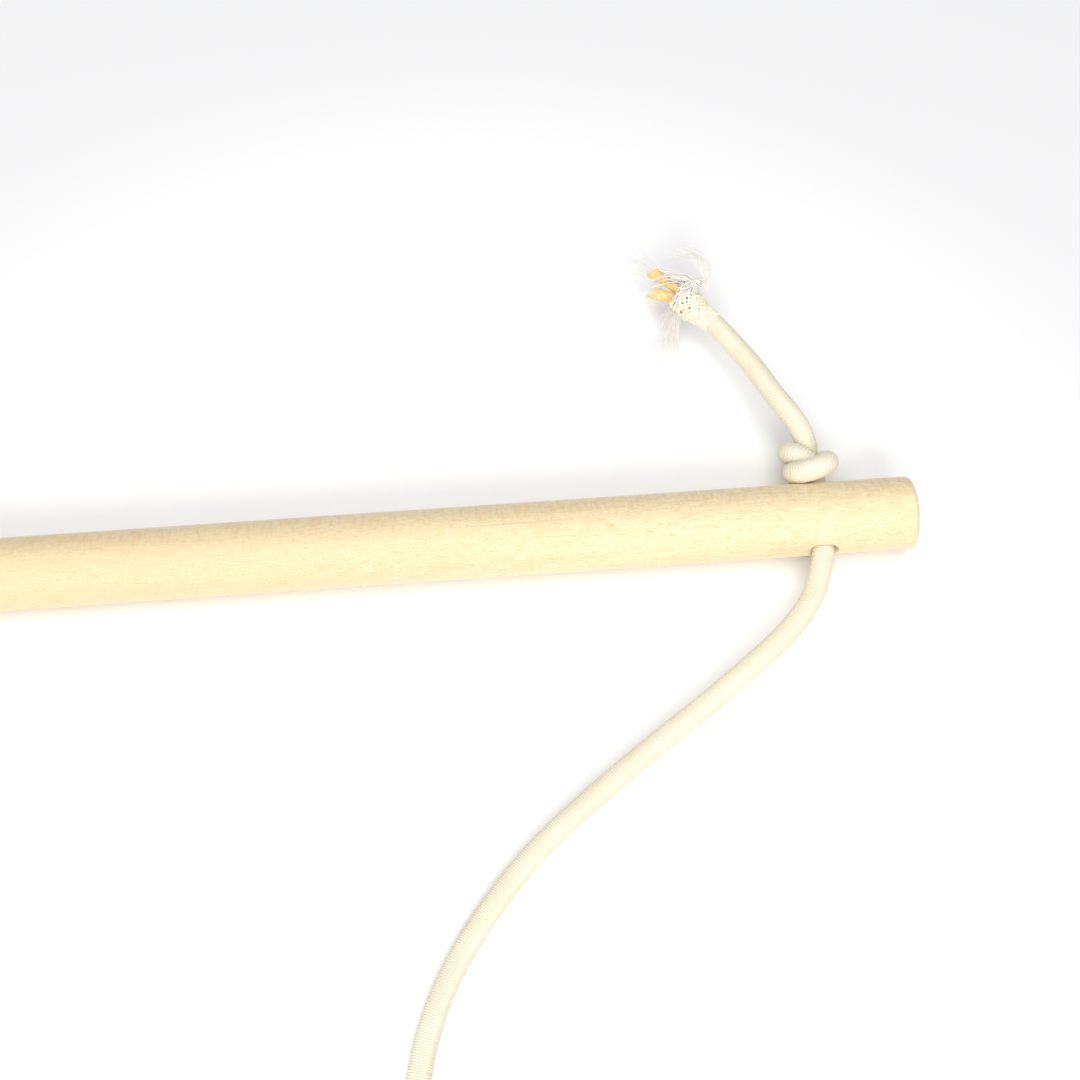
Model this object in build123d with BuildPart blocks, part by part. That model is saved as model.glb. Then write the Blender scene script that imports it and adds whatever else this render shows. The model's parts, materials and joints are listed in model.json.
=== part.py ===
"""A round wooden hand stick with an elastic cord through a cross-hole near one end.

The cord is one length of braided elastic: a woven cover over two rubber strands. An
overhand knot behind the stick stops it from pulling out of the hole. Its short tail is
frayed and shows the ends of the strands. In front of the stick the cord comes down to
the surface, runs off in an easy S and is wound into a coil, and it ends in a second knot.

Frame: millimetres, +Z up. The stick lies along X on the plane Z = 0, its drilled end at
+X. The origin is on that plane, under the middle of the stick.
"""
from build123d import *
import math
import os

os.makedirs("parts", exist_ok=True)

# ---------------------------------------------------------------- driving dimensions
stick_length = 400.0      # sawn end to sawn end
stick_d = 12.0            # dowel diameter
end_round = 0.8           # rounding of both end edges
hole_to_end = 15.0        # cross-hole axis to the drilled end

cord_d = 3.6              # elastic cord, over its woven cover
hole_clearance = 0.3      # all round the cord in the cross-hole
knot_gap = 0.3            # stopper knot to the back of the stick
mouth_run = 1.0           # straight cord in front of the hole, before it bends
floor_gap = 0.05          # lowest point of the cord above the plane it lies on

knot_width_ratio = 2.6    # overhand knot, across, in cord diameters
knot_depth_ratio = 2.2    # overhand knot, along the cord, in cord diameters

coil_turns_wide = 3       # turns side by side in the stored coil
coil_mean_d = 43.0        # stored coil, across the middle of its turns
turn_pitch = 3.75         # centre to centre of neighbouring turns
coil_lead_angle = 270     # where the end leaves the coil, degrees from +X

tail_length = 11.0        # cord left beyond the far knot
fray_length = 8.0         # loosened cover at the end of the stopper knot's tail
fray_end_d = 6.0          # loosened cover, across its open end
strand_d = 1.5            # one rubber strand
strand_apart = 1.8        # centre to centre of the two strands
strand_reach = 4.5        # strands beyond the loosened cover

# ---------------------------------------------------------------- worked out from them
stick_r = stick_d / 2
cord_r = cord_d / 2
hole_r = cord_r + hole_clearance
hole_x = stick_length / 2 - hole_to_end
rest_z = cord_r + floor_gap
knot_w = knot_width_ratio * cord_d
knot_depth = knot_depth_ratio * cord_d
knot_round = 0.3 * knot_w
knot_front = stick_r + knot_gap
knot_back = knot_front + knot_depth
mouth = Vector(hole_x, -stick_r - mouth_run, stick_r)

# Route of the free cord on the surface, from the hole's mouth: X and Y from the mouth,
# then the height of the cord's centre above its resting height.
run_offsets = [
    (-3.6, -9.0, 3.75),
    (-17.0, -19.0, 1.55),
    (-36.0, -31.7, 0.35),
    (-54.5, -46.0, 0.0),
    (-69.0, -66.5, 0.0),
    (-72.0, -89.0, 0.0),
    (-74.5, -111.0, 0.0),
]
run_points = [mouth] + [Vector(mouth.X + x, mouth.Y + y, rest_z + z) for x, y, z in run_offsets]

# Route of the tail behind the stick, from the middle of the stopper knot.
tail_offsets = [
    (0.6, 1.5, 2.4),
    (-3.2, 8.6, 3.2),
    (-7.0, 17.0, 2.6),
    (-13.5, 27.5, 1.2),
]
knot_middle = Vector(hole_x, knot_front + knot_depth / 2, stick_r)
tail_points = [knot_middle + Vector(*offset) for offset in tail_offsets]


def fillet_radii(points):
    """Radius at each corner: 0.45 of the shorter run over the tangent of half the turn."""
    radii = []
    for before, corner, after in zip(points, points[1:], points[2:]):
        run_in = corner - before
        run_out = after - corner
        half_turn = math.radians(run_in.get_angle(run_out)) / 2
        radii.append(0.45 * min(run_in.length, run_out.length) / math.tan(half_turn))
    return radii


def cord_path(name, points):
    """Straight runs joined by tangent arcs, with the radii and the length printed."""
    radii = fillet_radii(points)
    with BuildLine() as line:
        FilletPolyline(*points, radius=radii)
    path = line.wire()
    print(name, "radii", [round(radius, 1) for radius in radii], "length", round(path.length, 1))
    return path


def check_tube(name, part, path):
    """A sound tube has its section times its length as its volume."""
    expected = math.pi * cord_r**2 * path.length
    print(name, "volume over section x length", round(part.volume / expected, 4))


def write(part, name):
    part.label = name
    export_step(part, f"parts/{name}.step")


# ---------------------------------------------------------------- wooden stick
with BuildPart() as stick:
    with BuildSketch(Plane.YZ.offset(-stick_length / 2)):
        with Locations((0, stick_r)):
            Circle(stick_r)
    extrude(amount=stick_length)
    fillet(stick.edges().filter_by(GeomType.CIRCLE), radius=end_round)
    hole_plane = Plane(origin=(hole_x, -stick_r, stick_r), z_dir=(0, -1, 0))
    with Locations(hole_plane):
        Hole(radius=hole_r, depth=stick_d)
write(stick.part, "stick")

# ---------------------------------------------------------------- cord through the hole
first_run = (run_points[1] - run_points[0]).normalized()
with BuildPart() as cord_in_hole:
    with BuildSketch(Plane(origin=(hole_x, knot_front, stick_r), z_dir=(0, -1, 0))):
        Circle(cord_r)
    extrude(amount=knot_front - mouth.Y + cord_d)
    split(bisect_by=Plane(origin=mouth, z_dir=first_run), keep=Keep.BOTTOM)
write(cord_in_hole.part, "cord_in_hole")

# ---------------------------------------------------------------- free run of the cord
run_path = cord_path("cord_run", run_points)
with BuildPart() as cord_run:
    with BuildSketch(Plane(origin=run_path @ 0, z_dir=run_path % 0)):
        Circle(cord_r)
    sweep(path=run_path)
check_tube("cord_run", cord_run.part, run_path)
write(cord_run.part, "cord_run")

# ---------------------------------------------------------------- stored coil
coil_half_width = (coil_turns_wide - 1) * turn_pitch / 2 + cord_r
coil_outer_r = coil_mean_d / 2 + coil_half_width
coil_inner_r = coil_mean_d / 2 - coil_half_width
coil_height = turn_pitch + cord_d
outer_turn_r = coil_outer_r - cord_r
coil_middle = run_points[-1] + Vector(outer_turn_r, 0, 0)
with BuildPart() as cord_coil:
    with BuildSketch(Plane.XY.offset(floor_gap)):
        with Locations((coil_middle.X, coil_middle.Y)):
            Circle(coil_outer_r)
            Circle(coil_inner_r, mode=Mode.SUBTRACT)
    extrude(amount=coil_height)
    fillet(cord_coil.edges().filter_by(GeomType.CIRCLE), radius=0.45 * cord_d)
write(cord_coil.part, "cord_coil")

# ---------------------------------------------------------------- end of the cord
knot_rest_z = knot_w / 2 + floor_gap
top_z = rest_z + turn_pitch
lead_angle = math.radians(coil_lead_angle)
lead_start = Vector(
    coil_middle.X + outer_turn_r * math.cos(lead_angle),
    coil_middle.Y + outer_turn_r * math.sin(lead_angle),
    top_z,
)
end_points = [
    lead_start,
    lead_start + Vector(9.0, 0.6, 0.0),
    Vector(lead_start.X + 17.5, lead_start.Y + 0.2, knot_rest_z),
    Vector(lead_start.X + 26.0, lead_start.Y + 1.2, knot_rest_z),
]
lead_path = cord_path("cord_end_lead", end_points)
with BuildPart() as cord_end_lead:
    with BuildSketch(Plane(origin=lead_path @ 0, z_dir=lead_path % 0)):
        Circle(cord_r)
    sweep(path=lead_path)
check_tube("cord_end_lead", cord_end_lead.part, lead_path)
write(cord_end_lead.part, "cord_end_lead")


# ---------------------------------------------------------------- knots
end_plane = Plane(origin=lead_path @ 1, z_dir=lead_path % 1)
with BuildPart() as end_knot:
    with BuildSketch(end_plane):
        Circle(knot_w / 2)
    extrude(amount=knot_depth)
    fillet(end_knot.edges().filter_by(GeomType.CIRCLE), radius=knot_round)
write(end_knot.part, "end_knot")

with BuildPart() as stopper_knot:
    with BuildSketch(Plane(origin=(hole_x, knot_front, stick_r), z_dir=(0, 1, 0))):
        Circle(knot_w / 2)
    extrude(amount=knot_depth)
    fillet(stopper_knot.edges().filter_by(GeomType.CIRCLE), radius=knot_round)
write(stopper_knot.part, "stopper_knot")

# ---------------------------------------------------------------- tails beyond the knots
end_tail_start = end_plane.origin + end_plane.z_dir * knot_depth
end_tail_points = [
    end_tail_start,
    end_tail_start + Vector(0.5 * tail_length, 0.8, -1.2),
    end_tail_start + Vector(tail_length, 0.4, rest_z - end_tail_start.Z),
]
end_tail_path = cord_path("end_tail", end_tail_points)
with BuildPart() as end_tail:
    with BuildSketch(Plane(origin=end_tail_path @ 0, z_dir=end_tail_path % 0)):
        Circle(cord_r)
    sweep(path=end_tail_path)
check_tube("end_tail", end_tail.part, end_tail_path)
write(end_tail.part, "end_tail")

tail_path = cord_path("knot_tail", tail_points)
with BuildPart() as knot_tail:
    with BuildSketch(Plane(origin=tail_path @ 0, z_dir=tail_path % 0)):
        Circle(cord_r)
    sweep(path=tail_path)
check_tube("knot_tail", knot_tail.part, tail_path)
write(knot_tail.part, "knot_tail")

# ---------------------------------------------------------------- frayed end of the tail
fray_plane = Plane(origin=tail_path @ 1, z_dir=tail_path % 1)
strand_spots = [(-strand_apart / 2, 0), (strand_apart / 2, 0)]
with BuildPart() as frayed_cover:
    with BuildSketch(fray_plane):
        Circle(cord_r)
    with BuildSketch(fray_plane.offset(fray_length)):
        Circle(fray_end_d / 2)
    loft()
    with BuildSketch(fray_plane):
        with Locations(*strand_spots):
            Circle(strand_d / 2)
    extrude(amount=fray_length, mode=Mode.SUBTRACT)
write(frayed_cover.part, "frayed_cover")

for number, spot in enumerate(strand_spots, start=1):
    with BuildPart() as strand:
        with BuildSketch(fray_plane):
            with Locations(spot):
                Circle(strand_d / 2)
        extrude(amount=fray_length + strand_reach)
    write(strand.part, f"rubber_strand_{number}")
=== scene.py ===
"""A round hardwood hand stick with a covered elastic cord knotted through its cross-hole.

The stick is pale maple. The cord is a plaited cover over two rubber strands. Behind the
stick it is tied in an overhand knot, and its short tail has come loose at the end. In
front it comes down to the floor, runs off in an easy S, is wound into a stored coil and
ends in a second knot. Everything is in metres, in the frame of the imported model: the
stick lies along X, its drilled end at +X, and the floor is Z = 0.
"""
import json
import math
import bmesh
import bpy
import numpy as np
from mathutils import Matrix, Vector


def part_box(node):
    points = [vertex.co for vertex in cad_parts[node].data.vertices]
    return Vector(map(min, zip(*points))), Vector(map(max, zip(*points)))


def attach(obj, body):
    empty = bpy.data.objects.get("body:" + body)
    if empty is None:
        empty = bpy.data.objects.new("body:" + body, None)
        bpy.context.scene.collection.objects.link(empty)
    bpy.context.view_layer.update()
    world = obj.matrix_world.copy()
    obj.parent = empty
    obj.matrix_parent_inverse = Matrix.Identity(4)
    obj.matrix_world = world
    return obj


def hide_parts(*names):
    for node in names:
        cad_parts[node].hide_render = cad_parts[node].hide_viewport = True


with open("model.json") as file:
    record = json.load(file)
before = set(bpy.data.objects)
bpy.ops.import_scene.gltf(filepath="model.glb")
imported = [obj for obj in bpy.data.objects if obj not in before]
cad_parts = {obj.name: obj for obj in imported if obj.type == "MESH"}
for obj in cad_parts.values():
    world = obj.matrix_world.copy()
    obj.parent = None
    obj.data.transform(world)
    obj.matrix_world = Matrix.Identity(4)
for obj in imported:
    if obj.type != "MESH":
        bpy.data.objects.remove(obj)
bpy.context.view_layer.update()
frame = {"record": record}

# ---------------- sizes from the frame
MM = 0.001
hole_clearance = 0.3 * MM     # all round the cord in the cross-hole
stick_low, stick_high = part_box("stick")
stick_r = (stick_high[2] - stick_low[2]) / 2
stick_end = stick_high[0]
hole = np.array(frame["record"]["behaviour"]["joints"][0]["pos_m"], float)
in_hole_low, in_hole_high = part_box("cord_in_hole")
cord_r = (in_hole_high[0] - in_hole_low[0]) / 2
cord_d = 2 * cord_r
hole_r = cord_r + hole_clearance
coil_low, coil_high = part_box("cord_coil")
floor_gap = coil_low[2]
rest_z = cord_r + floor_gap
turn_pitch = coil_high[2] - coil_low[2] - cord_d

# ---------------- sizes of the looks
end_round = 0.8 * MM
rim_wear = 1.0 * MM           # wear of the hole's mouth on the side that the cord pulls to
mouth_run = 1.0 * MM          # straight cord in front of the hole
cord_start = 2.0 * MM         # where the cord's tubes start, behind the stick's middle
rib_pitch = 0.38 * MM
rib_depth = 0.035 * MM
fine_step = 0.065 * MM        # between the rings of a finely ribbed tube
coarse_step = 0.5 * MM        # between the rings of the cord in the coil
fine_end = 0.150              # length of the free cord that is finely ribbed
knot_points = 140             # points of a line while it is pulled into a knot
relaxed_gap = 3.75 * MM       # centre to centre of the cord in the relaxed knot
knot_gap = 2.95 * MM          # the same in a pulled knot
knot_strand_r = 1.86 * MM     # half the cord's width there, before it is pressed flat
stopper_length = 39.0 * MM    # cord in the stopper knot, from inside the hole to the tail
far_knot_length = 45.0 * MM   # cord in the far knot, with its short cut end
far_knot_reach = 16.0 * MM    # from the end of the free cord to that cut end
bend_passes = 220             # smoothing passes where the tail leaves the knot
plait_length = 7.6 * MM
plait_open_r = 2.7 * MM
core_r = 0.98 * MM            # half a rubber strand's width


# ---------------- node trees
def put(tree, kind, inputs=None, out=0, **fields):
    """Adds a node, sets its fields and inputs, and gives back one of its outputs."""
    node = tree.nodes.new(kind)
    for field, value in fields.items():
        setattr(node, field, value)
    for key, value in (inputs or {}).items():
        if isinstance(value, bpy.types.NodeSocket):
            tree.links.new(value, node.inputs[key])
        else:
            node.inputs[key].default_value = value
    return node.outputs[out]


def calc(tree, operation, a, b=0.0, c=0.0):
    """A Math node."""
    return put(tree, "ShaderNodeMath", {0: a, 1: b, 2: c}, operation=operation)


def times(tree, a, b):
    """A Math node that multiplies."""
    return calc(tree, "MULTIPLY", a, b)


def span(tree, value, low, high, to_low=0.0, to_high=1.0):
    """Maps low..high to to_low..to_high, clamped and eased."""
    inputs = {"Value": value, "From Min": low, "From Max": high,
              "To Min": to_low, "To Max": to_high}
    return put(tree, "ShaderNodeMapRange", inputs, interpolation_type="SMOOTHSTEP")


def noise(tree, vector, scale, detail=3.0, roughness=0.5, distortion=0.0):
    """A Noise Texture node."""
    inputs = {"Vector": vector, "Scale": scale, "Detail": detail, "Roughness": roughness,
              "Distortion": distortion}
    return put(tree, "ShaderNodeTexNoise", inputs)


def stretched(tree, vector, x, y, z, place=(0.0, 0.0, 0.0)):
    """The same coordinates, scaled along each axis."""
    inputs = {"Vector": vector, "Scale": (x, y, z), "Location": place}
    return put(tree, "ShaderNodeMapping", inputs)


def mixed(tree, share, a, b):
    """A colour between a and b."""
    return put(tree, "ShaderNodeMix", {0: share, 6: a, 7: b}, out=2, data_type="RGBA")


def new_geometry_tree(name, inputs):
    """A geometry node tree with named inputs, and the sockets that give their values."""
    tree = bpy.data.node_groups.new(name, "GeometryNodeTree")
    for label, kind, value in [("Geometry", "Geometry", None)] + inputs:
        socket = tree.interface.new_socket(label, in_out="INPUT", socket_type="NodeSocket" + kind)
        if value is not None:
            socket.default_value = value
    tree.interface.new_socket("Geometry", in_out="OUTPUT", socket_type="NodeSocketGeometry")
    start = tree.nodes.new("NodeGroupInput")
    return tree, {socket.name: socket for socket in start.outputs}


def end_geometry_tree(tree, line, thickness, material, sides):
    """Gives the lines a round section and a material, and ends the tree."""
    profile = put(tree, "GeometryNodeCurvePrimitiveCircle",
                  {"Resolution": sides, "Radius": thickness})
    skin = put(tree, "GeometryNodeCurveToMesh",
               {"Curve": line, "Profile Curve": profile, "Fill Caps": True})
    skin = put(tree, "GeometryNodeSetShadeSmooth", {"Geometry": skin})
    real = put(tree, "GeometryNodeRealizeInstances", {"Geometry": skin})
    painted = put(tree, "GeometryNodeSetMaterial", {"Geometry": real, "Material": material})
    tree.links.new(painted, tree.nodes.new("NodeGroupOutput").inputs["Geometry"])


def vector_sum(tree, *parts):
    """The sum of several vectors."""
    total = parts[0]
    for part in parts[1:]:
        total = put(tree, "ShaderNodeVectorMath", {0: total, 1: part}, operation="ADD")
    return total


def vector_times(tree, vector, amount):
    """A vector, scaled."""
    return put(tree, "ShaderNodeVectorMath", {0: vector, "Scale": amount}, operation="SCALE")


def grown(name, tree, values, guide=((0, 0, 0), (0, 0, MM))):
    """Runs a geometry node tree on a guide line and keeps the mesh that it makes."""
    seed_mesh = bpy.data.meshes.new(name)
    links = [(k, k + 1) for k in range(len(guide) - 1)]
    seed_mesh.from_pydata([tuple(point) for point in guide], links, [])
    piece = bpy.data.objects.new(name, seed_mesh)
    bpy.context.scene.collection.objects.link(piece)
    modifier = piece.modifiers.new(tree.name, "NODES")
    modifier.node_group = tree
    for item in tree.interface.items_tree:
        if item.in_out == "INPUT" and item.name in values:
            modifier[item.identifier] = values[item.name]
    depsgraph = bpy.context.evaluated_depsgraph_get()
    mesh = bpy.data.meshes.new_from_object(piece.evaluated_get(depsgraph))
    piece.modifiers.clear()
    piece.data = mesh
    mesh.name = name
    bpy.data.meshes.remove(seed_mesh)
    return piece


def new_material(name):
    """A node material, its tree and its shader."""
    material = bpy.data.materials.new(name)
    material.use_nodes = True
    return material, material.node_tree, material.node_tree.nodes["Principled BSDF"]


# ---------------- materials
def maple():
    """Pale maple: short fine grain, orange pores, ray fleck along the back, sawn ends."""
    material, tree, shader = new_material("sanded_maple")
    place = put(tree, "ShaderNodeTexCoord", out=3)
    axes = put(tree, "ShaderNodeSeparateXYZ", {0: place}).node
    x, y, z = (axes.outputs[k] for k in range(3))

    broad = noise(tree, stretched(tree, place, 11, 170, 170), 1.0, 4.0, 0.55, 0.3)
    grain = noise(tree, stretched(tree, place, 420, 2700, 2700), 1.0, 4.0, 0.62)
    fine = noise(tree, stretched(tree, place, 1500, 5200, 5200), 1.0, 2.0, 0.6)
    pores = noise(tree, stretched(tree, place, 620, 1900, 1900, (1.7, 0.4, 0.9)), 1.0, 3.0, 0.6)
    lines = noise(tree, stretched(tree, place, 34, 2100, 2100), 1.0, 2.0, 0.5)
    ripple = noise(tree, stretched(tree, place, 1350, 330, 330, (3.1, 0.7, 0.2)), 1.0, 2.0, 0.6)

    colour = mixed(tree, span(tree, broad, 0.34, 0.66),
                   (0.775, 0.632, 0.385, 1), (0.825, 0.730, 0.455, 1))
    colour = mixed(tree, span(tree, grain, 0.40, 0.62, 0.0, 0.55), colour, (0.700, 0.530, 0.280, 1))
    colour = mixed(tree, span(tree, fine, 0.46, 0.70, 0.0, 0.45), colour, (0.900, 0.840, 0.640, 1))
    colour = mixed(tree, span(tree, pores, 0.57, 0.70, 0.0, 0.55), colour, (0.690, 0.450, 0.180, 1))
    colour = mixed(tree, span(tree, lines, 0.66, 0.78, 0.0, 0.45), colour, (0.560, 0.420, 0.270, 1))

    colour = mixed(tree, span(tree, x, 0.05, 0.15, 0.55, 0.0), colour, (0.715, 0.545, 0.315, 1))
    specks = noise(tree, stretched(tree, place, 1900, 2600, 2600, (0.2, 1.1, 0.7)), 1.0, 2.0, 0.7)
    colour = mixed(tree, span(tree, specks, 0.60, 0.72, 0.0, 0.5), colour, (0.660, 0.500, 0.270, 1))

    # ray fleck: a band that wanders along the upper back, where the rays are cut across
    turn = calc(tree, "ARCTAN2", calc(tree, "SUBTRACT", z, float(hole[2])), y)
    drift = calc(tree, "MULTIPLY_ADD", x, 1.1, times(tree, broad, 0.5))
    off_band = calc(tree, "ABSOLUTE", calc(tree, "SUBTRACT", calc(tree, "ADD", turn, drift), 1.30))
    band = span(tree, off_band, 0.12, 0.72, 1.0, 0.0)
    fleck = times(tree, span(tree, ripple, 0.46, 0.64), band)
    colour = mixed(tree, times(tree, fleck, 0.40), colour, (0.700, 0.455, 0.225, 1))

    # sawn ends: growth rings about a pith that lies off to one side
    from_pith = put(tree, "ShaderNodeCombineXYZ", {1: calc(tree, "SUBTRACT", y, 0.011), 2: z})
    radius = put(tree, "ShaderNodeVectorMath", {0: from_pith}, out=1, operation="LENGTH")
    wavy = calc(tree, "MULTIPLY_ADD", broad, 6.0, times(tree, radius, 5200.0))
    ring = calc(tree, "SINE", wavy)
    rings = calc(tree, "MULTIPLY_ADD", ring, 0.5, 0.5)
    end_colour = mixed(tree, rings, (0.640, 0.470, 0.235, 1), (0.760, 0.610, 0.350, 1))
    end_colour = mixed(tree, span(tree, fine, 0.45, 0.7, 0.0, 0.4), end_colour,
                       (0.540, 0.370, 0.180, 1))
    rim = calc(tree, "ABSOLUTE", x)
    on_end = span(tree, rim, float(stick_end) - 0.6 * MM, float(stick_end) - 0.1 * MM)
    colour = mixed(tree, on_end, colour, end_colour)
    tree.links.new(colour, shader.inputs["Base Color"])

    shader.inputs["Roughness"].default_value = 0.58
    shader.inputs["Specular IOR Level"].default_value = 0.30
    shader.inputs["Sheen Weight"].default_value = 0.45
    shader.inputs["Sheen Roughness"].default_value = 0.45
    height = calc(tree, "MULTIPLY_ADD", grain, 0.5, times(tree, pores, -0.8))
    height = calc(tree, "MULTIPLY_ADD", fine, 0.4, height)
    height = calc(tree, "MULTIPLY_ADD", fleck, 0.25, height)
    bump = put(tree, "ShaderNodeBump", {"Height": height, "Strength": 0.5, "Distance": 0.08 * MM})
    tree.links.new(bump, shader.inputs["Normal"])
    return material


def plaited_cover():
    """Natural plaited cotton cover: fine ribs round the cord, each a row of small stitches."""
    material, tree, shader = new_material("plaited_cover")
    place = put(tree, "ShaderNodeUVMap", uv_map="around_along")
    axes = put(tree, "ShaderNodeSeparateXYZ", {0: place})
    u, v = axes.node.outputs[0], axes.node.outputs[1]
    plaits = 12.0
    zigzag = calc(tree, "PINGPONG", times(tree, u, plaits), 1.0)
    phase = calc(tree, "MULTIPLY_ADD", v, 1.0 / rib_pitch, times(tree, zigzag, 0.35))
    wave = calc(tree, "COSINE", times(tree, phase, math.tau))
    rib = calc(tree, "MULTIPLY_ADD", wave, 0.5, 0.5)
    column = calc(tree, "ABSOLUTE", calc(tree, "SUBTRACT", zigzag, 0.5))
    column = times(tree, column, 2.0)
    stitch = times(tree, rib, calc(tree, "SUBTRACT", 1.0, times(tree, column, 0.45)))
    place = put(tree, "ShaderNodeTexCoord", out=3)
    fibre = noise(tree, place, 3800.0, 3.0, 0.6)
    patch = noise(tree, place, 160.0, 3.0, 0.5)

    colour = mixed(tree, span(tree, stitch, 0.05, 0.6),
                   (0.775, 0.665, 0.475, 1), (0.845, 0.815, 0.665, 1))
    colour = mixed(tree, span(tree, patch, 0.35, 0.7, 0.0, 0.3), colour, (0.87, 0.85, 0.74, 1))
    colour = mixed(tree, span(tree, fibre, 0.52, 0.72, 0.0, 0.40), colour, (0.76, 0.68, 0.51, 1))
    tree.links.new(colour, shader.inputs["Base Color"])
    shader.inputs["Roughness"].default_value = 0.82
    shader.inputs["Sheen Weight"].default_value = 0.15
    shader.inputs["Sheen Roughness"].default_value = 0.5
    shader.inputs["Specular IOR Level"].default_value = 0.2
    height = calc(tree, "MULTIPLY_ADD", fibre, 0.25, stitch)
    bump = put(tree, "ShaderNodeBump", {"Height": height, "Strength": 0.8, "Distance": 0.08 * MM})
    tree.links.new(bump, shader.inputs["Normal"])
    return material


def loose_yarn(name, dull, bright):
    """Spun filament yarn between two tones."""
    material, tree, shader = new_material(name)
    place = put(tree, "ShaderNodeTexCoord", out=3)
    tone = noise(tree, place, 900.0, 2.0, 0.5)
    colour = mixed(tree, span(tree, tone, 0.3, 0.7), dull, bright)
    tree.links.new(colour, shader.inputs["Base Color"])
    shader.inputs["Roughness"].default_value = 0.6
    shader.inputs["Sheen Weight"].default_value = 0.3
    shader.inputs["Specular IOR Level"].default_value = 0.3
    return material


def amber_rubber():
    """Raw rubber strand: amber, slightly clear."""
    material, tree, shader = new_material("amber_rubber")
    place = put(tree, "ShaderNodeTexCoord", out=3)
    tone = noise(tree, place, 1500.0, 3.0, 0.6)
    colour = mixed(tree, span(tree, tone, 0.3, 0.7), (0.78, 0.50, 0.19, 1), (0.86, 0.67, 0.33, 1))
    tree.links.new(colour, shader.inputs["Base Color"])
    shader.inputs["Roughness"].default_value = 0.45
    shader.inputs["Subsurface Weight"].default_value = 0.25
    shader.inputs["Subsurface Radius"].default_value = (0.6 * MM, 0.35 * MM, 0.12 * MM)
    shader.inputs["Subsurface Scale"].default_value = 1.0
    bump = put(tree, "ShaderNodeBump", {"Height": tone, "Strength": 0.4, "Distance": 0.08 * MM})
    tree.links.new(bump, shader.inputs["Normal"])
    return material


def pale_floor():
    """Matt pale floor, a little darker away from the middle: a painted falloff of the light towards
    the edges.
    """
    material, tree, shader = new_material("pale_floor")
    place = put(tree, "ShaderNodeTexCoord", out=3)
    tone = noise(tree, place, 14.0, 2.0, 0.5)
    from_middle = put(tree, "ShaderNodeVectorMath", {0: place, 1: (0.125, -0.03, 0)}, out=1,
                      operation="DISTANCE")
    colour = mixed(tree, tone, (0.895, 0.895, 0.90, 1), (0.91, 0.91, 0.91, 1))
    # painted falloff of the light: the floor's colour darkens with distance from the middle
    colour = mixed(tree, span(tree, from_middle, 0.075, 0.145), colour, (0.76, 0.76, 0.77, 1))
    tree.links.new(colour, shader.inputs["Base Color"])
    shader.inputs["Roughness"].default_value = 0.7
    return material


# ---------------- meshes
def new_object(name, points, faces, material, uvs=None):
    """A smooth mesh piece at the origin. uvs gives one (u, v) for each face corner."""
    mesh = bpy.data.meshes.new(name)
    mesh.from_pydata([tuple(p) for p in points], [], faces)
    mesh.polygons.foreach_set("use_smooth", [True] * len(mesh.polygons))
    if uvs is not None:
        layer = mesh.uv_layers.new(name="around_along")
        layer.data.foreach_set("uv", np.asarray(uvs, float).ravel())
    mesh.materials.append(material)
    mesh.validate()
    piece = bpy.data.objects.new(name, mesh)
    bpy.context.scene.collection.objects.link(piece)
    return piece


def joined(name, pieces):
    """One piece of several, with their materials and the first one's UV map."""
    with bpy.context.temp_override(active_object=pieces[0], selected_editable_objects=pieces):
        bpy.ops.object.join()
    pieces[0].name = pieces[0].data.name = name
    return pieces[0]


def unit(vector):
    """The same direction at length 1."""
    return vector / np.linalg.norm(vector, axis=-1, keepdims=True)


def line_length(line):
    """The length of a line of points."""
    return np.linalg.norm(np.diff(line, axis=0), axis=1).sum()


def run_along(line):
    """The distance along a line to each of its points."""
    return np.r_[0, np.cumsum(np.linalg.norm(np.diff(line, axis=0), axis=1))]


def points_at(line, places):
    """Points of a line at the given distances along it."""
    along = run_along(line)
    return np.stack([np.interp(places, along, line[:, axis]) for axis in range(3)], 1)


def evenly(line, count):
    """The same line with evenly spaced points."""
    return points_at(line, np.linspace(0, run_along(line)[-1], count))


def eased(share):
    """0..1 with a level start and end."""
    return share * share * (3 - 2 * share)


def across(line, first=None):
    """Directions along a line and two across it, carried along without twist."""
    along = unit(np.gradient(line, axis=0))
    side = np.zeros_like(along)
    start = np.array((0.0, 0.0, 1.0)) if first is None else np.asarray(first, float)
    start = start - start @ along[0] * along[0]
    side[0] = unit(start)
    for k in range(1, len(line)):
        carried = side[k - 1] - side[k - 1] @ along[k] * along[k]
        side[k] = unit(carried)
    return along, side, np.cross(along, side)


def pressed(skin, line, radius):
    """Flattens a tied cord where it bears on itself, half way to the strand beside it."""
    step = line_length(line) / (len(line) - 1)
    order = np.arange(len(line))
    for k, ring in enumerate(skin):
        way = line - line[k]
        far = np.linalg.norm(way, axis=1)
        beside = (np.abs(order - k) * step > 1.6 * knot_gap) & (far < 2.3 * radius)
        if not beside.any():
            continue
        way = way[beside] / far[beside, None]
        over = (ring - line[k]) @ way.T - (far[beside] / 2 - 0.012 * MM)
        worst = over.argmax(1)
        amount = np.maximum(over[np.arange(len(ring)), worst], 0.0)
        ring -= amount[:, None] * way[worst]
    return skin


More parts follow.
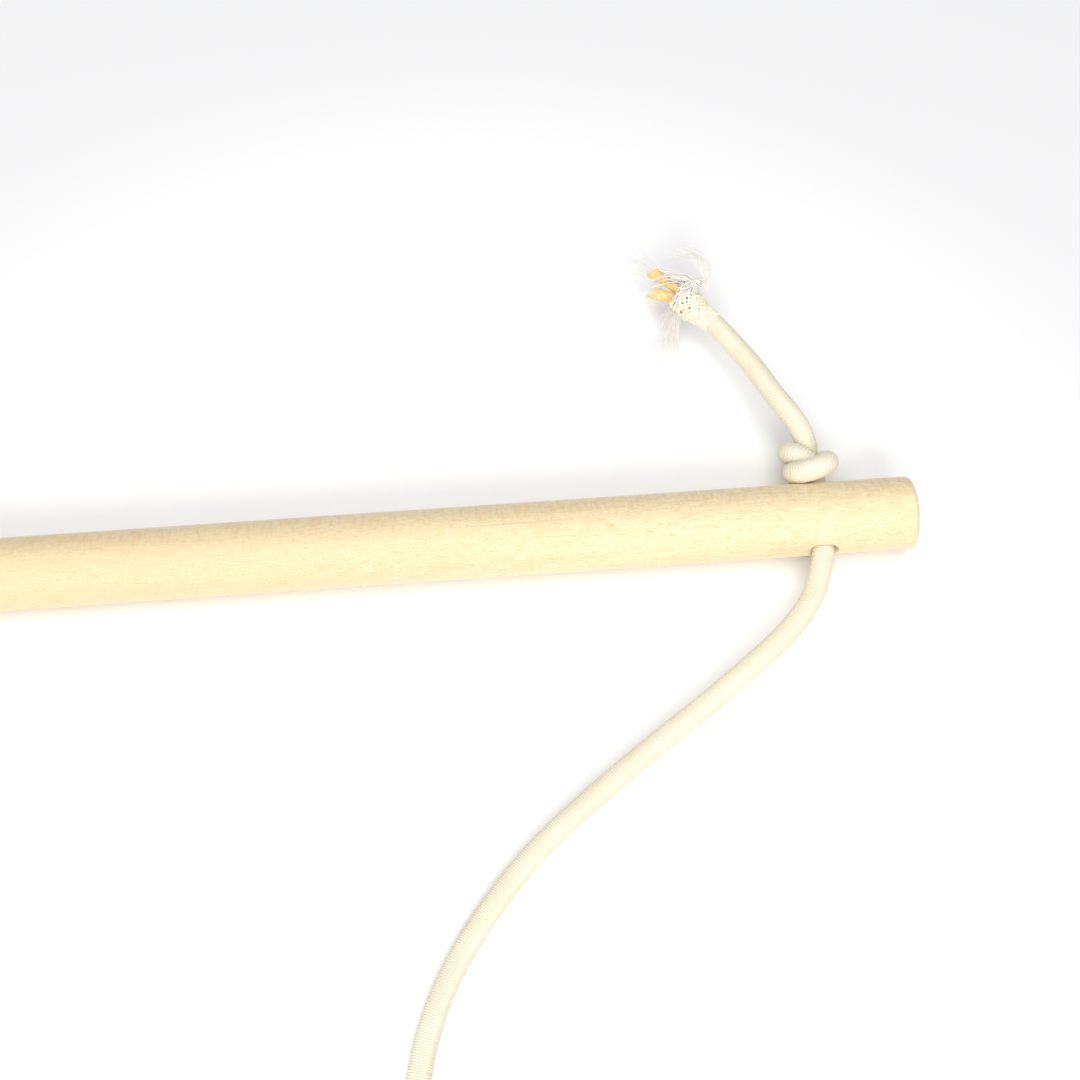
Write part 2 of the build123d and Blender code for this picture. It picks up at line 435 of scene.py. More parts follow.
def tube(name, line, radii, material, around=24, ribbed=False, begin=0.0, first=None, press=False):
    """A closed tube along a line. UV is the share of a turn and the length in metres."""
    along, side, other = across(line, first)
    count = len(line)
    run = begin + run_along(line)
    turn = np.arange(around) / around
    radii = np.broadcast_to(radii, (count,))[:, None] + np.zeros((count, around))
    if ribbed:
        radii = radii + rib_depth * np.cos(math.tau * (run[:, None] / rib_pitch + turn[None, :]))
    angle = math.tau * turn
    out = (np.cos(angle)[None, :, None] * side[:, None]
           + np.sin(angle)[None, :, None] * other[:, None])
    skin = line[:, None] + radii[:, :, None] * out
    if press:
        skin = pressed(skin, line, radii.max())
    points = list(skin.reshape(-1, 3))
    faces, uvs = [], []

    def band(lower, upper, low_v, high_v):
        for k in range(around):
            nxt = (k + 1) % around
            faces.append((lower[k], lower[nxt], upper[nxt], upper[k]))
            uvs.extend(((k / around, low_v), ((k + 1) / around, low_v),
                        ((k + 1) / around, high_v), (k / around, high_v)))

    rings = [[row * around + k for k in range(around)] for row in range(count)]
    for row in range(count - 1):
        band(rings[row], rings[row + 1], run[row], run[row + 1])
    for row, way in ((0, -1.0), (count - 1, 1.0)):
        edge = rings[row]
        thick = radii[row].mean()
        for share, lift in ((0.82, 0.12), (0.5, 0.2)):
            inner = list(range(len(points), len(points) + around))
            spot = line[row] + way * lift * thick * along[row]
            points.extend(spot + share * radii[row, k] * out[row, k] for k in range(around))
            band(*((edge, inner) if way > 0 else (inner, edge)), run[row], run[row])
            edge = inner
        points.append(line[row] + way * 0.22 * thick * along[row])
        for k in range(around):
            nxt = (k + 1) % around
            fan = (edge[k], edge[nxt], len(points) - 1)
            faces.append(fan if way > 0 else fan[::-1])
            uvs.extend([(k / around, run[row])] * 3)
    piece = new_object(name, points, faces, material, uvs)
    piece["last_side"] = side[-1].tolist()
    return piece


def spline_line(name, points):
    """The line of a NURBS spline whose control points are the given points."""
    curve = bpy.data.curves.new(name, "CURVE")
    curve.dimensions = "3D"
    curve.resolution_u = 10
    spline = curve.splines.new("NURBS")
    spline.points.add(len(points) - 1)
    for control, point in zip(spline.points, points):
        control.co = (*point, 1.0)
    spline.order_u = 3
    spline.use_endpoint_u = True
    holder = bpy.data.objects.new(name, curve)
    bpy.context.scene.collection.objects.link(holder)
    bpy.context.view_layer.update()
    depsgraph = bpy.context.evaluated_depsgraph_get()
    mesh = bpy.data.meshes.new_from_object(holder.evaluated_get(depsgraph))
    line = np.array([vertex.co for vertex in mesh.vertices])
    bpy.data.objects.remove(holder)
    bpy.data.curves.remove(curve)
    bpy.data.meshes.remove(mesh)
    return line


# ---------------- wooden stick
def wooden_stick():
    """The stick as one closed skin: rounded sawn ends and a bored cross-hole."""
    around = 96
    half_patch = 12
    step = math.tau * stick_r / around
    patch = half_patch * step
    coarse = 1.25 * MM

    def stations(start, end, gap):
        return list(np.linspace(start, end, max(2, round(abs(end - start) / gap) + 1)))

    flat_end = stick_end - end_round
    left = stations(-flat_end, hole[0] - patch, coarse)
    middle = stations(hole[0] - patch, hole[0] + patch, 2 * patch / (2 * half_patch))
    right = stations(hole[0] + patch, flat_end, step)
    places = left + middle[1:] + right[1:]
    patch_from, patch_to = len(left) - 1, len(left) - 1 + 2 * half_patch

    def skin(x, arc):
        """A point of the outer skin: arc is the distance round it from the front, upwards."""
        angle = arc / stick_r
        swell = 1 + 0.0035 * math.sin(37 * x + 1.3) + 0.0025 * math.sin(3 * angle + 61 * x)
        return (x, -stick_r * swell * math.cos(angle), stick_r + stick_r * swell * math.sin(angle))

    points, faces, grid = [], [], {}
    for i, x in enumerate(places):
        for j in range(around):
            grid[i, j] = len(points)
            points.append(skin(x, j * step))
    front, back = 0, around // 2

    def in_patch(i, j):
        if not patch_from <= i < patch_to:
            return False
        return any(-half_patch <= (j - centre + around // 2) % around - around // 2 < half_patch
                   for centre in (front, back))

    for i in range(len(places) - 1):
        for j in range(around):
            if in_patch(i, j):
                continue
            nxt = (j + 1) % around
            faces.append((grid[i, j], grid[i, nxt], grid[i + 1, nxt], grid[i + 1, j]))

    # round the bores, rings of points pass from the square patch to the circle of the bore
    rims = []
    worn_from, worn_share = 0.94, 0.06
    for centre in (front, back):
        outline = []
        for k in range(2 * half_patch):
            outline.append((patch_from + k, centre - half_patch))
        for k in range(2 * half_patch):
            outline.append((patch_to, centre - half_patch + k))
        for k in range(2 * half_patch):
            outline.append((patch_to - k, centre + half_patch))
        for k in range(2 * half_patch):
            outline.append((patch_from, centre + half_patch - k))
        ring = [grid[i, j % around] for i, j in outline]
        square = [((places[i] - hole[0]), (j - centre) * step) for i, j in outline]
        for share in (0.25, 0.5, 0.72, 0.86, worn_from, 0.96, 0.98, 1.0):
            new_ring = []
            for x, arc in square:
                angle = math.atan2(arc, x)
                ragged = 0.012 * math.sin(5 * angle + 0.6) + 0.010 * math.sin(11 * angle)
                pulled = max(0.0, -math.cos(angle + 0.35)) ** 2 if centre == front else 0.0
                lip = max(0.0, math.cos(angle - 2.1)) ** 3 if centre == front else 0.0
                wear = 0.12 * MM + rim_wear * pulled
                bevel = wear * min(1.0, (1 - share) / worn_share)
                rim_r = hole_r * (1 + ragged) - 0.35 * MM * lip + bevel
                rim_x = rim_r * math.cos(angle)
                rim_arc = stick_r * math.asin(rim_r * math.sin(angle) / stick_r)
                inwards = min(1.0, share / worn_from)
                x_here, arc_here = x + (rim_x - x) * inwards, arc + (rim_arc - arc) * inwards
                point = skin(hole[0] + x_here, arc_here + centre * step)
                new_ring.append(len(points))
                sink = wear * max(0.0, share - worn_from) / worn_share
                points.append((point[0], point[1] * (1 - sink / stick_r), point[2]))
            for k in range(len(ring)):
                nxt = (k + 1) % len(ring)
                faces.append((ring[nxt], ring[k], new_ring[k], new_ring[nxt])[::-1])
            ring = new_ring
        rims.append(ring)

    # the bore: rings straight through from the front rim to the back rim
    count = len(rims[0])
    turned = [rims[1][(-k + 2 * half_patch) % count] for k in range(count)]
    start = min(range(count), key=lambda s: sum(
        (points[rims[0][k]][0] - points[turned[(k + s) % count]][0]) ** 2
        + (points[rims[0][k]][2] - points[turned[(k + s) % count]][2]) ** 2
        for k in range(0, count, 6)))
    turned = [turned[(k + start) % count] for k in range(count)]
    ring = rims[0]
    for share in np.linspace(0, 1, 13)[1:]:
        if share < 1:
            new_ring = []
            for k in range(count):
                a, b = np.array(points[rims[0][k]]), np.array(points[turned[k]])
                new_ring.append(len(points))
                points.append(tuple(a + (b - a) * share))
        else:
            new_ring = turned
        for k in range(count):
            nxt = (k + 1) % count
            faces.append((ring[k], ring[nxt], new_ring[nxt], new_ring[k]))
        ring = new_ring

    # rounded ends and flat sawn faces
    for edge, way in ((0, -1), (len(places) - 1, 1)):
        ring = [grid[edge, j] for j in range(around)]
        shells = [(stick_r - end_round + end_round * math.cos(a), end_round * math.sin(a))
                  for a in np.linspace(0, math.pi / 2, 7)[1:]]
        shells += [(radius * stick_r, end_round) for radius in (0.72, 0.5, 0.28, 0.1)]
        for radius, reach in shells:
            new_ring = []
            for j in range(around):
                point = skin(way * flat_end, j * step)
                share = radius / stick_r
                new_ring.append(len(points))
                points.append((way * (flat_end + reach), point[1] * share,
                               stick_r + (point[2] - stick_r) * share))
            for j in range(around):
                nxt = (j + 1) % around
                quad = (ring[j], ring[nxt], new_ring[nxt], new_ring[j])
                faces.append(quad if way > 0 else quad[::-1])
            ring = new_ring
        points.append((way * stick_end, 0.0, stick_r))
        for j in range(around):
            nxt = (j + 1) % around
            fan = (ring[j], ring[nxt], len(points) - 1)
            faces.append(fan if way > 0 else fan[::-1])
    piece = new_object("wooden_stick", points, faces, maple())
    facing_out(piece)
    return piece


def facing_out(piece):
    """Turns every face of a closed mesh outwards."""
    work = bmesh.new()
    work.from_mesh(piece.data)
    bmesh.ops.recalc_face_normals(work, faces=work.faces)
    work.to_mesh(piece.data)
    work.free()


# ---------------- tied knots
def tighten(line, gap, length, hold, steps, bend, keep_off=None):
    """Pulls a tied line tight: it shortens, stays smooth and can't pass through itself."""
    count = len(line)
    line = line.copy()
    loose = line_length(line)
    order = np.arange(count)
    apart = np.abs(order[:, None] - order[None, :])
    for step in range(steps):
        done = min(1.0, step / (0.7 * steps))
        link = (loose + (length - loose) * done) / (count - 1)
        hold(line, link)
        for _ in range(4):
            line[1:-1] += bend * (0.5 * (line[:-2] + line[2:]) - line[1:-1])
            for first in (0, 1):
                pairs = (count - first) // 2
                a = line[first:first + 2 * pairs:2]
                b = line[first + 1:first + 1 + 2 * pairs:2]
                gap_ab = b - a
                size = np.linalg.norm(gap_ab, axis=1, keepdims=True) + 1e-12
                move = 0.5 * (size - link) / size * gap_ab
                a += move
                b -= move
        between = line[:, None, :] - line[None, :, :]
        size = np.sqrt((between ** 2).sum(2)) + 1e-12
        touching = (apart > math.ceil(1.6 * gap / link)) & (size < gap)
        push = np.where(touching, (gap - size) / size, 0.0)
        many = np.sqrt(np.maximum(1, touching.sum(1)))[:, None]
        line += 0.5 * (push[:, :, None] * between).sum(1) / many
        if keep_off is not None:
            keep_off(line)
    return line


def overhand():
    """A relaxed overhand knot about the Y axis."""
    t = np.linspace(-2.12, 2.12, knot_points)
    loose = np.stack([0.55 * (t**3 - 3 * t), 0.42 * (t**4 - 4 * t**2), 0.16 * (t**5 - 10 * t)], 1)
    loose = loose[:, [0, 2, 1]] * 6.4 * MM
    reach, lead = 11.0 * MM, 5

    def hold(line, link):
        for k in range(lead):
            line[k] = 0.8 * line[k] + 0.2 * np.array((0, -reach + link * k, 0))
            line[-1 - k] = 0.8 * line[-1 - k] + 0.2 * np.array((0, reach - link * k, 0))

    return tighten(evenly(loose, knot_points), relaxed_gap, 58.0 * MM, hold, 1200, 0.12)


def turned_about_y(line, degrees):
    """The line, turned about the Y axis."""
    angle = math.radians(degrees)
    c, s = math.cos(angle), math.sin(angle)
    return line @ np.array(((c, 0, s), (0, 1, 0), (-s, 0, c)))


def turned_about_z(line, degrees):
    """The line, turned about the Z axis."""
    angle = math.radians(degrees)
    c, s = math.cos(angle), math.sin(angle)
    return line @ np.array(((c, -s, 0), (s, c, 0), (0, 0, 1)))


def strand_radii(line, thin_from, thin_to):
    """The cord as it is at both ends, slacker and wider between, inside the knot."""
    share = np.linspace(0, 1, len(line))
    rise = np.clip((share - thin_from[0]) / (thin_from[1] - thin_from[0]), 0, 1)
    fall = np.clip((thin_to[1] - share) / (thin_to[1] - thin_to[0]), 0, 1)
    amount = np.minimum(rise, fall)
    return cord_r + (knot_strand_r - cord_r) * eased(amount)


def stopper_line(tied):
    """The knot behind the stick: out of the hole, over and through itself, into the tail."""
    line = turned_about_z(turned_about_y(tied * (knot_gap / relaxed_gap), 290), -18)
    middle = np.array((hole[0] + 1.4 * MM, 7.6 * MM, hole[2] + 2.3 * MM))
    line = line + middle
    inside = np.array((hole[0], cord_start, hole[2]))
    line = line[np.argmax(line[:, 1] > inside[1]):]
    line = line[:np.argmax(line[:, 1] > tail_start[1] - 1.5 * MM)]
    line = evenly(np.vstack([inside, line, tail_start]), knot_points)
    lead = 5

    def hold(line, link):
        for k in range(lead):
            line[k] = 0.5 * line[k] + 0.5 * (inside + np.array((0, link * k, 0)))
            line[-1 - k] = 0.6 * line[-1 - k] + 0.4 * (tail_start - tail_way * link * k)

    def keep_off(line):
        off_axis = np.hypot(line[:, 0] - hole[0], line[:, 2] - hole[2])
        from_middle = np.hypot(line[:, 1], line[:, 2] - stick_r)
        clear = stick_r + knot_strand_r
        inside_wood = (from_middle < clear) & (off_axis > 0.6 * MM) & (np.arange(len(line)) >= 10)
        push = np.where(inside_wood, clear / np.maximum(from_middle, 1e-9), 1.0)
        line[:, 1] *= push
        line[:, 2] = stick_r + (line[:, 2] - stick_r) * push
        line[:, 2] = np.maximum(line[:, 2], knot_strand_r + floor_gap)

    return tighten(line, knot_gap, stopper_length, hold, 700, 0.10, keep_off)


def knot_and_tail(tied):
    """The lines of the knot and of its tail, eased into each other where the tail comes out."""
    line = stopper_line(tied)
    whole = np.vstack([line[:-1], spline_line("tail_route", tail_points)])
    whole = evenly(whole, round(line_length(whole) / (0.3 * MM)))
    run = run_along(whole)
    joint = line_length(line)
    bend_from, bend_to = joint - 3.5 * MM, joint + 6.0 * MM
    bent = ((run > bend_from) & (run < bend_to))[1:-1, None]
    for _ in range(bend_passes):
        whole[1:-1] += 0.5 * bent * (0.5 * (whole[:-2] + whole[2:]) - whole[1:-1])
    cut = np.argmax(run >= joint)
    return whole[:cut + 1], whole[cut:]


# ---------------- routes of the cord
mouth = hole + np.array((0, -stick_r - mouth_run, 0))
run_offsets = [
    (-0.0041, -0.0090, 0.00375),
    (-0.0170, -0.0190, 0.00155),
    (-0.0360, -0.0317, 0.00035),
    (-0.0545, -0.0460, 0.0),
    (-0.0690, -0.0665, 0.0),
    (-0.0720, -0.0890, 0.0),
]
end_knot_z = (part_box("end_knot")[0][2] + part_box("end_knot")[1][2]) / 2
lead_drop = end_knot_z - (rest_z + turn_pitch)
lead_offsets = [
    (0.0090, 0.0006, 0.0),
    (0.0175, 0.0002, lead_drop),
    (0.0260, 0.0012, lead_drop),
]
tail_start = np.array((0.1840, 0.0152, 0.0092))
tail_points = [
    tail_start,
    np.array((0.1824, 0.0176, 0.0092)),
    np.array((0.1799, 0.0222, 0.0088)),
    np.array((0.1772, 0.0286, 0.0081)),
    np.array((0.1748, 0.0329, 0.0076)),
    np.array((0.1721, 0.0374, 0.0072)),
    np.array((0.1697, 0.0406, 0.0070)),
    np.array((0.1665, 0.0439, 0.0068)),
]
tail_way = unit(tail_points[1] - tail_points[0])
coil_middle = np.array(((coil_low[0] + coil_high[0]) / 2, (coil_low[1] + coil_high[1]) / 2, 0))
outer_turn_r = (coil_high[0] - coil_low[0]) / 2 - cord_r


def coil_points():
    """Turns that wind inwards on the floor, climb, and wind outwards on top."""
    turns, per_turn = 4.25, 20
    hull = 1 / math.cos(math.pi / per_turn)
    steps = round(turns * per_turn)
    wound = []
    for k in range(steps + 1):
        turn = k / per_turn
        inward = min(turn, turns - turn)
        radius = (outer_turn_r - turn_pitch * inward) * (hull if 0 < k < steps else 1.0)
        climb = min(1.0, max(0.0, (turn - turns / 2 + 0.18) / 0.36))
        height = rest_z + turn_pitch * eased(climb)
        angle = math.pi + math.tau * turn
        spot = (radius * math.cos(angle), radius * math.sin(angle), height)
        wound.append(coil_middle + np.array(spot))
    return wound


def free_cord_points():
    """Control points from inside the hole, over the floor and the coil, to the far knot."""
    inside = [hole + np.array((0, cord_start, 0)), hole + np.array((-0.15 * MM, -3.0 * MM, 0))]
    run = [mouth - np.array((0.35 * MM, 0, 0.3 * MM))]
    run += [np.array((mouth[0] + x, mouth[1] + y, rest_z + z)) for x, y, z in run_offsets]
    wound = coil_points()
    lead = [wound[-1] + np.array(offset) for offset in lead_offsets]
    return inside + run + wound + lead


def free_cord(material):
    """One tube: finely ribbed where it lies free, plainer in the coil."""
    route = spline_line("free_cord_route", free_cord_points())
    whole = run_along(route)[-1]
    places = np.r_[np.arange(0, fine_end, fine_step),
                   np.arange(fine_end, whole, coarse_step), whole]
    line = points_at(route, places)
    piece = tube("free_cord", line, cord_r, material, around=24, ribbed=True)
    return piece, line


# ---------------- the tail's open end
strand_routes = [
    [(0.1710, 0.0381, 0.0069), (0.1681, 0.0413, 0.0066), (0.1662, 0.0433, 0.0064),
     (0.1640, 0.0449, 0.0062), (0.1607, 0.0461, 0.0059)],
    [(0.1717, 0.0387, 0.0074), (0.1691, 0.0422, 0.0074), (0.1670, 0.0446, 0.0073),
     (0.1648, 0.0471, 0.0071), (0.1614, 0.0503, 0.0067)],
]


def loose_plait_tree():
    """Yarns that wind both ways round a widening tube, over and under each other."""
    tree, given = new_geometry_tree("loose_plait", [
        ("Yarns", "Int", 28), ("Length", "Float", plait_length),
        ("Start Radius", "Float", cord_r - 0.15 * MM), ("Open Radius", "Float", plait_open_r),
        ("Turns", "Float", 0.8), ("Over Under", "Float", 0.14 * MM),
        ("Looseness", "Float", 1.5 * MM), ("Thickness", "Float", 0.235 * MM), ("Seed", "Int", 3),
        ("Material", "Material", None)])
    line = put(tree, "GeometryNodeCurvePrimitiveLine", {"End": (0, 0, MM)})
    line = put(tree, "GeometryNodeResampleCurve", {"Curve": line, "Count": 44})
    copies = put(tree, "GeometryNodeDuplicateElements",
                 {"Geometry": line, "Amount": given["Yarns"]}, domain="SPLINE")
    number = copies.node.outputs["Duplicate Index"]
    share = put(tree, "GeometryNodeSplineParameter")
    odd = calc(tree, "MODULO", number, 2.0)
    way = calc(tree, "MULTIPLY_ADD", odd, -2.0, 1.0)
    pair = calc(tree, "FLOOR", calc(tree, "DIVIDE", number, 2.0))
    pairs = calc(tree, "DIVIDE", given["Yarns"], 2.0)
    start = times(tree, calc(tree, "DIVIDE", pair, pairs), math.tau)
    wound = times(tree, times(tree, share, given["Turns"]), math.tau)
    angle = calc(tree, "ADD", start, times(tree, wound, way))
    crossing = times(tree, wound, pairs)
    weave = times(tree, times(tree, calc(tree, "COSINE", crossing), way), given["Over Under"])
    opened = calc(tree, "POWER", share, 1.3)
    widening = calc(tree, "SUBTRACT", given["Open Radius"], given["Start Radius"])
    widened = calc(tree, "MULTIPLY_ADD", opened, widening, given["Start Radius"])
    radius = calc(tree, "ADD", widened, weave)
    ring = {0: times(tree, radius, calc(tree, "COSINE", angle)),
            1: times(tree, radius, calc(tree, "SINE", angle)),
            2: times(tree, share, given["Length"])}
    place = put(tree, "ShaderNodeCombineXYZ", ring)
    seeded = calc(tree, "MULTIPLY_ADD", number, 3.7, given["Seed"])
    waver = put(tree, "ShaderNodeTexNoise",
                {"Vector": place, "W": seeded, "Scale": 520.0, "Detail": 2.0},
                out=1, noise_dimensions="4D")
    waver = vector_sum(tree, waver, (-0.5, -0.5, -0.5))
    loose = times(tree, times(tree, share, share), given["Looseness"])
    place = vector_sum(tree, place, vector_times(tree, waver, times(tree, loose, 2.0)))
    laid = put(tree, "GeometryNodeSetPosition", {"Geometry": copies, "Position": place})
    end_geometry_tree(tree, laid, given["Thickness"], given["Material"], 6)
    return tree


def filament_tree():
    """Copies of a guide line that spread, curl and differ in length, like pulled filaments."""
    tree, given = new_geometry_tree("filament_tuft", [
        ("Count", "Int", 20), ("Root Spread", "Float", 0.4 * MM), ("Tip Spread", "Float", 3.0 * MM),
        ("Curl", "Float", 1.5 * MM), ("Curls Per Metre", "Float", 180.0),
        ("Shortest", "Float", 0.4),
        ("Thickness", "Float", 0.025 * MM), ("Seed", "Int", 1), ("Material", "Material", None)])
    line = put(tree, "GeometryNodeMeshToCurve", {"Mesh": given["Geometry"]})
    line = put(tree, "GeometryNodeResampleCurve", {"Curve": line, "Count": 22})
    copies = put(tree, "GeometryNodeDuplicateElements",
                 {"Geometry": line, "Amount": given["Count"]}, domain="SPLINE")
    number = copies.node.outputs["Duplicate Index"]
    share = put(tree, "GeometryNodeSplineParameter")

    def random_way(step):
        seed = calc(tree, "ADD", given["Seed"], float(step))
        return put(tree, "FunctionNodeRandomValue",
                   {0: (-1, -1, -1), 1: (1, 1, 1), "ID": number, "Seed": seed},
                   data_type="FLOAT_VECTOR")

    seed = calc(tree, "ADD", given["Seed"], 11.0)
    reach = put(tree, "FunctionNodeRandomValue",
                {2: given["Shortest"], 3: 1.0, "ID": number, "Seed": seed},
                out=1, data_type="FLOAT")
    trimmed = put(tree, "GeometryNodeTrimCurve", {"Curve": copies, 3: reach}, mode="FACTOR")
    spot = put(tree, "GeometryNodeInputPosition")
    seeded = calc(tree, "MULTIPLY_ADD", number, 5.3, given["Seed"])
    swirl = put(tree, "ShaderNodeTexNoise",
                {"Vector": spot, "W": seeded, "Scale": given["Curls Per Metre"], "Detail": 1.0},
                out=1, noise_dimensions="4D")
    swirl = vector_sum(tree, swirl, (-0.5, -0.5, -0.5))
    spread = times(tree, calc(tree, "POWER", share, 1.4), given["Tip Spread"])
    curl = times(tree, times(tree, share, given["Curl"]), 3.0)
    offset = vector_sum(tree, vector_times(tree, random_way(1), given["Root Spread"]),
                        vector_times(tree, random_way(2), spread), vector_times(tree, swirl, curl))
    moved = put(tree, "GeometryNodeSetPosition", {"Geometry": trimmed, "Offset": offset})
    low = put(tree, "ShaderNodeSeparateXYZ", {0: put(tree, "GeometryNodeInputPosition")}).node
    height = calc(tree, "MAXIMUM", low.outputs[2], 0.2 * MM)
    lifted = put(tree, "ShaderNodeCombineXYZ", {0: low.outputs[0], 1: low.outputs[1], 2: height})
    moved = put(tree, "GeometryNodeSetPosition", {"Geometry": moved, "Position": lifted})
    end_geometry_tree(tree, moved, given["Thickness"], given["Material"], 3)
    return tree


def loose_tail(line, knot, begin):
    """The tail: ribbed cord that opens at its end into a loosened plait."""
    fine = evenly(line, round(line_length(line) / fine_step))
    solid = fine[:-round(plait_length / fine_step)]
    tail = tube("tail", solid, cord_r, cover, around=30, ribbed=True, begin=begin,
                first=knot["last_side"])
    plait = grown("plait", loose_plait_tree(), {"Material": yarn})
    way = unit(line[-1] - solid[-1])
    turned = Vector(way).to_track_quat("Z", "Y").to_matrix().to_4x4()
    start = solid[-1] - 0.3 * MM * way
    plait.data.transform(Matrix.Translation(Vector(start)) @ turned)
    plait.data.update()
    return joined("loose_tail", [tail, plait]), fine


def rubber_strand(name, route, material):
    """One strand of the core, cut across at a slant."""
    line = spline_line(name, route)
    line = evenly(line, 60)
    strand = tube(name, line, core_r, material, around=20)
    way = unit(line[-1] - line[-4])
    slant = unit(way + np.array((-0.2, 0.9, 0.8)))
    corner = line[-1] - 1.1 * MM * way
    for vertex in strand.data.vertices:
        spot = np.array(vertex.co)
        beyond = (spot - corner) @ slant
        if beyond > 0:
            vertex.co = spot - beyond / (way @ slant) * way
    return strand


def tuft_values(count, root_spread, tip_spread, curl, thickness, seed):
    """The input values of a tuft, its widths given in millimetres."""
    return {"Count": count, "Root Spread": root_spread * MM, "Tip Spread": tip_spread * MM,
            "Curl": curl * MM, "Thickness": thickness * MM, "Seed": seed}


# name and guide line of each tuft, in metres, and its values
tufts = [
    ("curled_over", [(0.1702, 0.0438, 0.0078), (0.1712, 0.0462, 0.0098), (0.1702, 0.0494, 0.0106),
                     (0.1672, 0.0512, 0.0102), (0.1640, 0.0508, 0.0094)],
     tuft_values(24, 1.1, 1.6, 1.0, 0.05, seed=5)),
    ("across_the_end", [(0.1696, 0.0436, 0.0098), (0.1678, 0.0454, 0.0099),
                        (0.1654, 0.0468, 0.0089), (0.1626, 0.0478, 0.0074)],
     tuft_values(26, 0.8, 0.9, 0.6, 0.11, seed=17)),
    ("band", [(0.1704, 0.0450, 0.0092), (0.1688, 0.0444, 0.0101), (0.1666, 0.0427, 0.0094),
              (0.1654, 0.0410, 0.0070)],
     tuft_values(34, 0.7, 0.9, 0.6, 0.12, seed=29)),
    ("hanging", [(0.1672, 0.0428, 0.0070), (0.1652, 0.0414, 0.0058), (0.1640, 0.0380, 0.0036),
                 (0.1632, 0.0336, 0.0014)],
     tuft_values(60, 1.1, 2.4, 1.4, 0.045, seed=41)),
    ("haze", [(0.1640, 0.0478, 0.0062), (0.1612, 0.0506, 0.0056), (0.1584, 0.0532, 0.0048),
              (0.1554, 0.0556, 0.0038)],
     tuft_values(64, 1.0, 3.0, 2.0, 0.018, seed=53)),
    ("left_fuzz", [(0.1646, 0.0448, 0.0056), (0.1618, 0.0454, 0.0046), (0.1592, 0.0462, 0.0036)],
     tuft_values(40, 1.0, 2.2, 1.4, 0.018, seed=67)),
]


def frayed_filaments():
    """Every tuft of pulled white filaments at the tail's open end, as one piece."""
    tree = filament_tree()
    pieces = [grown(name, tree, {"Material": filament, **values}, guide)
              for name, guide, values in tufts]
    return joined("frayed_filaments", pieces)


def far_knot(tied, cord_line):
    """The second knot, at the far end of the cord, with a short cut tail of its own."""
    lap = 0.4 * MM            # how far the knot's tube starts inside the free cord
    start = cord_line[-1]
    way = unit((start - cord_line[-6]) * np.array((1, 1, 0)))
    stop = start + way * far_knot_reach
    stop[2] = rest_z + 0.3 * MM
    turn = math.degrees(math.atan2(-way[0], way[1]))
    line = turned_about_z(turned_about_y(tied * (knot_gap / relaxed_gap), 90), turn)
    line = line + start + way * 5.4 * MM
    ahead = (line - start) @ way
    last = len(line) - np.argmax(ahead[::-1] < 11.0 * MM)
    line = line[np.argmax(ahead > 0.8 * MM):last]
    line = evenly(np.vstack([start - way * lap, line, stop]), knot_points)

    def hold(line, link):
        for k in range(5):
            line[k] = 0.5 * line[k] + 0.5 * (start + way * (link * k - lap))
            line[-1 - k] = 0.5 * line[-1 - k] + 0.5 * (stop - way * link * k)

    def keep_off(line):
        line[:, 2] = np.maximum(line[:, 2], knot_strand_r + floor_gap)

    line = evenly(tighten(line, knot_gap, far_knot_length, hold, 600, 0.10, keep_off), 460)
    radii = strand_radii(line, (0.06, 0.18), (0.74, 0.88))
    knot = tube("far_knot", line, radii, cover, around=26, press=True)
    values = {"Material": yarn, **tuft_values(44, 1.3, 0.9, 0.6, 0.08, seed=83)}
    guide = [stop - way * 0.6 * MM, stop + way * 0.6 * MM, stop + way * 1.8 * MM]
    return joined("tied_end_knot", [knot, grown("cut_end", filament_tree(), values, guide)])


# ---------------- camera, floor and light
def set_camera():
    """A camera that looks down on the drilled end of the stick."""
    camera = bpy.data.cameras.new("camera")
    camera.lens = 50
    camera.sensor_width = 36
    camera.clip_start = 0.01
    turn, drop = math.radians(4.27), math.radians(66.25)
    level = math.cos(drop)
    way = Vector((math.sin(turn) * level, math.cos(turn) * level, -math.sin(drop)))
    holder = bpy.data.objects.new("camera", camera)
    look_at, distance = Vector((0.13881, 0.00222, 0)), 0.25237
    holder.location = look_at - way * distance
    holder.rotation_euler = way.to_track_quat("-Z", "Y").to_euler()
    bpy.context.scene.collection.objects.link(holder)
    bpy.context.scene.camera = holder


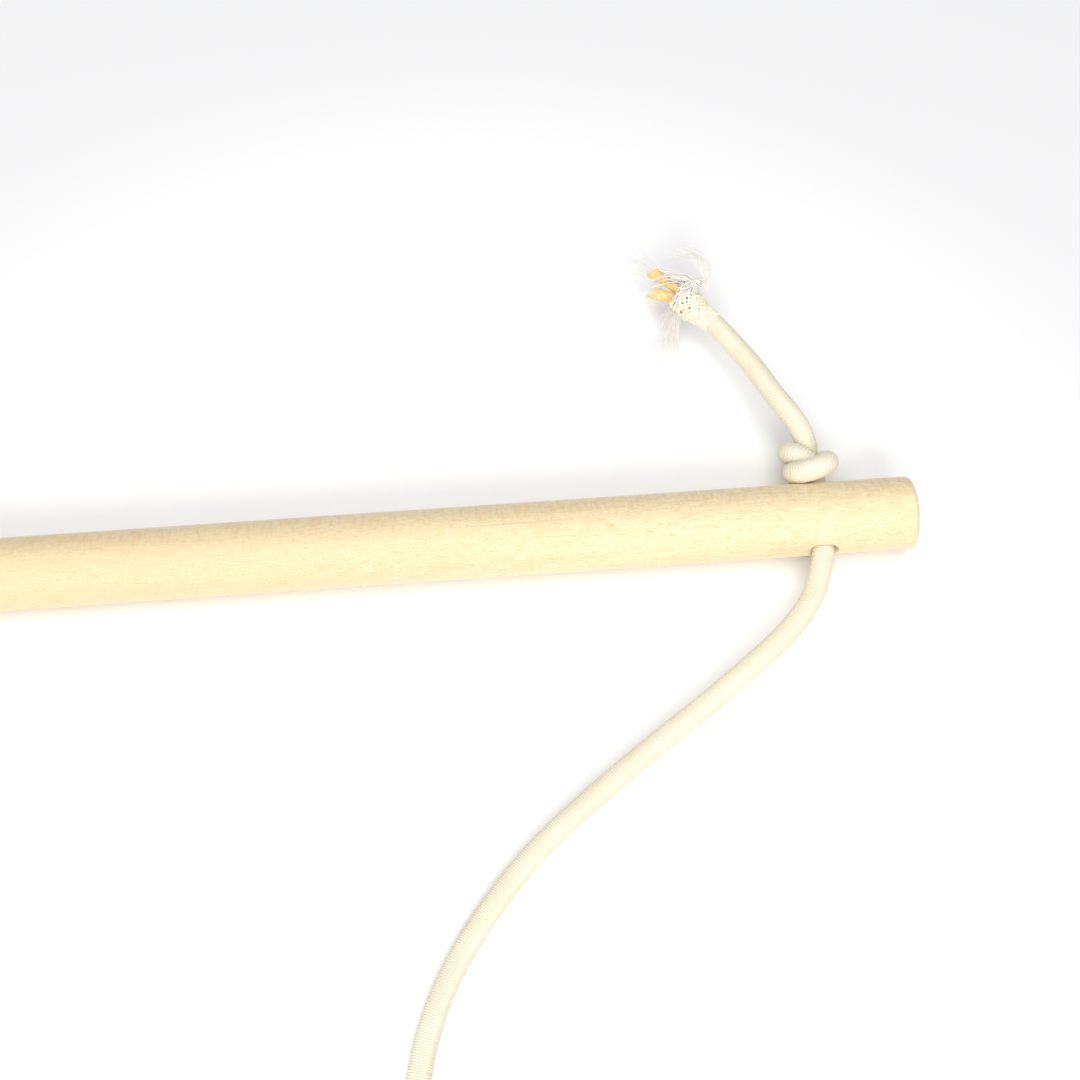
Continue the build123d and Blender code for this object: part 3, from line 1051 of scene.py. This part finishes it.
def add_light(name, place, towards, size, power):
    """A round white area light that faces a point."""
    light = bpy.data.lights.new(name, "AREA")
    light.shape = "DISK"
    light.size = size
    light.energy = power
    holder = bpy.data.objects.new(name, light)
    holder.location = place
    holder.rotation_euler = (Vector(towards) - Vector(place)).to_track_quat("-Z", "Y").to_euler()
    bpy.context.scene.collection.objects.link(holder)


def set_stage():
    """The floor, the two lights and the world."""
    half = 2.0
    corners = [(-half, -half, 0), (half, -half, 0), (half, half, 0), (-half, half, 0)]
    floor = new_object("floor", corners, [(0, 1, 2, 3)], pale_floor())
    middle = (0.14, 0.0, 0.0)
    add_light("overhead_light", (0.10, -0.02, 0.80), middle, 0.85, 4.6)
    add_light("front_light", (0.08, -0.74, 0.56), middle, 0.60, 5.6)
    world = bpy.data.worlds.new("studio")
    world.use_nodes = True
    background = world.node_tree.nodes["Background"]
    background.inputs["Color"].default_value = (1.0, 1.0, 1.0, 1.0)
    background.inputs["Strength"].default_value = 0.38
    bpy.context.scene.world = world
    bpy.context.scene.view_settings.view_transform = "Standard"


# ---------------- building
set_camera()
set_stage()
cover = plaited_cover()
yarn = loose_yarn("loose_yarn", (0.82, 0.745, 0.575, 1), (0.91, 0.870, 0.745, 1))
filament = loose_yarn("pulled_filament", (0.94, 0.905, 0.82, 1), (0.985, 0.965, 0.905, 1))

stick = wooden_stick()
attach(stick, "stick")
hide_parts("stick")

cord, cord_line = free_cord(cover)
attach(cord, "cord")
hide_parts("cord_in_hole", "cord_run", "cord_coil", "cord_end_lead")

tied = overhand()
knot_line, tail_line = knot_and_tail(tied)
knot_fine = evenly(knot_line, round(line_length(knot_line) / fine_step))
knot_radii = strand_radii(knot_fine, (0.10, 0.22), (0.80, 0.97))
knot = tube("tied_stopper_knot", knot_fine, knot_radii, cover, around=30, press=True)
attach(knot, "cord")
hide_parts("stopper_knot")

tail, tail_line = loose_tail(tail_line, knot, line_length(knot_fine))
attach(tail, "cord")
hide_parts("knot_tail", "frayed_cover")

rubber = amber_rubber()
for number, route in enumerate(strand_routes, start=1):
    strand = rubber_strand(f"rubber_core_{number}", route, rubber)
    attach(strand, "cord")
    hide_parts(f"rubber_strand_{number}")

fray = frayed_filaments()
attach(fray, "cord")

end_knot = far_knot(tied, cord_line)
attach(end_knot, "cord")
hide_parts("end_knot", "end_tail")
